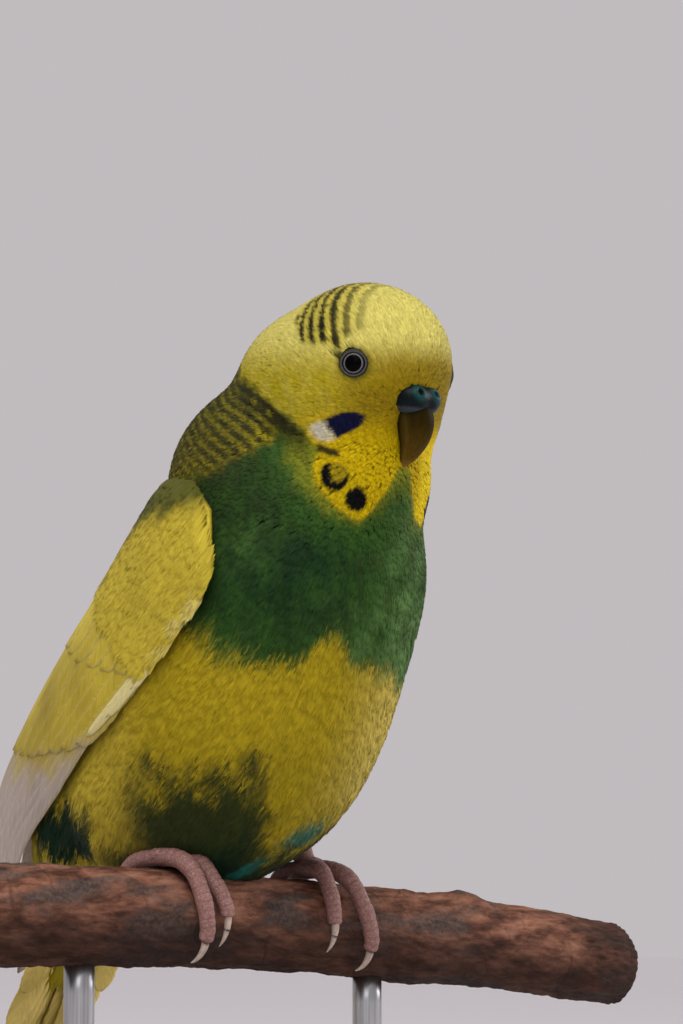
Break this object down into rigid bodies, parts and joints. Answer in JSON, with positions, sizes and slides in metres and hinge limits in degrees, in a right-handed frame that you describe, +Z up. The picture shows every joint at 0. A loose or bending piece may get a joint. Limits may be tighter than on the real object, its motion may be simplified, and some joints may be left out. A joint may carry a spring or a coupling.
{
  "type": "budgerigar on a perch",
  "caption": "Life-size perched budgerigar, wings folded and tail hanging, toes wrapped round a short branch on a plain flat stand.",
  "frame": {"origin": "centre of the stand base's underside", "axes": "+Z up, -Y the way the bird's body faces, -X its right side; the branch runs nearly along X"},
  "size_m": [0.163, 0.124, 0.1773],
  "materials": {
    "body_plumage": "soft feathers, deep green breast over yellow belly",
    "head_plumage": "soft feathers, yellow with dark bars behind the crown and dark throat spots",
    "leg_plumage": "soft feathers",
    "wing_feathers": "smooth overlapping flight feathers and coverts, pale edges",
    "tail_feathers": "smooth long overlapping feathers",
    "eyes": "wet and glossy",
    "cere": "waxy dark blue skin",
    "bill": "smooth horn",
    "foot_skin": "scaly pink skin",
    "claws": "pale horn",
    "bark": "rough weathered bark",
    "stand": "dark satin lacquer",
    "stand_metal": "dark satin"
  },
  "bodies": {
    "root": {"torso": "body_plumage", "neck": "body_plumage", "head": "head_plumage", "eye_left": "eyes", "eye_right": "eyes", "cere": "cere", "bill_upper": "bill", "bill_lower": "bill", "wing_right": "wing_feathers", "wing_left": "wing_feathers", "tail": "tail_feathers", "leg_left": "leg_plumage", "foot_left": "foot_skin", "leg_right": "leg_plumage", "foot_right": "foot_skin", "perch": "bark", "stand_base": "stand", "stand_rod_left": "stand_metal", "stand_rod_right": "stand_metal", "claw_left_1": "claws", "claw_left_2": "claws", "claw_left_3": "claws", "claw_left_4": "claws", "claw_right_1": "claws", "claw_right_2": "claws", "claw_right_3": "claws", "claw_right_4": "claws"}
  },
  "joints": []
}
